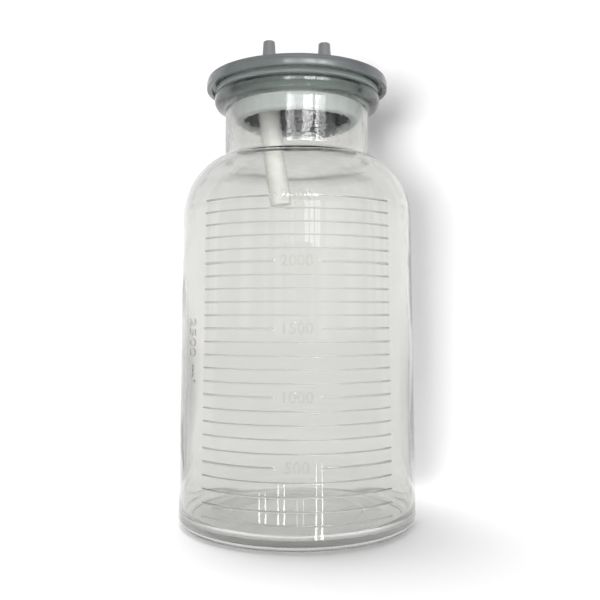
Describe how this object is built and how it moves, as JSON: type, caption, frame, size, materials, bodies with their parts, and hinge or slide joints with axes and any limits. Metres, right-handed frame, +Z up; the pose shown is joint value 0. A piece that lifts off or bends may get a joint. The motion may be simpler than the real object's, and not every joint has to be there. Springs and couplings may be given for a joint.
{
  "type": "suction collection jar",
  "caption": "Tall graduated glass collection jar for a medical suction unit, with silicone stopper, round lid, hose connectors, drop tube and float overflow valve.",
  "frame": {"origin": "centre of the ring that the jar rests on", "axes": "+Z up along the jar's axis; -Y is the side that carries the graduations; the two hose connectors lie along X, turned 5.6 degrees about +Z"},
  "size_m": [0.1404, 0.1408, 0.295],
  "materials": {
    "glass": "clear pressed soda-lime glass with raised graduation lines",
    "silicone": "milky translucent silicone, satin",
    "grey_plastic": "injection-moulded grey plastic, fairly glossy",
    "tubing": "milky white silicone tubing",
    "black_rubber": "matt black rubber",
    "float_plastic": "white polypropylene, satin"
  },
  "bodies": {
    "jar": {"glass_jar": "glass"},
    "seal": {"seal_ring": "silicone"},
    "lid": {"lid_cover": "grey_plastic", "inlet_connector": "grey_plastic", "inlet_washer": "black_rubber", "inlet_nut": "grey_plastic", "vacuum_connector": "grey_plastic", "vacuum_washer": "black_rubber", "vacuum_nut": "grey_plastic", "valve_housing": "grey_plastic", "valve_seat": "black_rubber", "valve_cap": "grey_plastic"},
    "float": {"valve_float": "float_plastic"},
    "tube": {"drop_tube": "tubing"}
  },
  "joints": [
    {"name": "lid_lift", "type": "slide", "parent": "jar", "child": "seal", "axis": [0, 0, 1], "range_m": [0, 0.09]},
    {"name": "lid_turn", "type": "hinge", "parent": "seal", "child": "lid", "pos_m": [0, 0, 0.26], "axis": [0, 0, 1], "continuous": true},
    {"name": "float_rise", "type": "slide", "parent": "lid", "child": "float", "axis": [0, 0, 1], "range_m": [0, 0.006]},
    {"name": "tube_pull", "type": "slide", "parent": "lid", "child": "tube", "axis": [0, 0, -1], "range_m": [0, 0.02]}
  ]
}
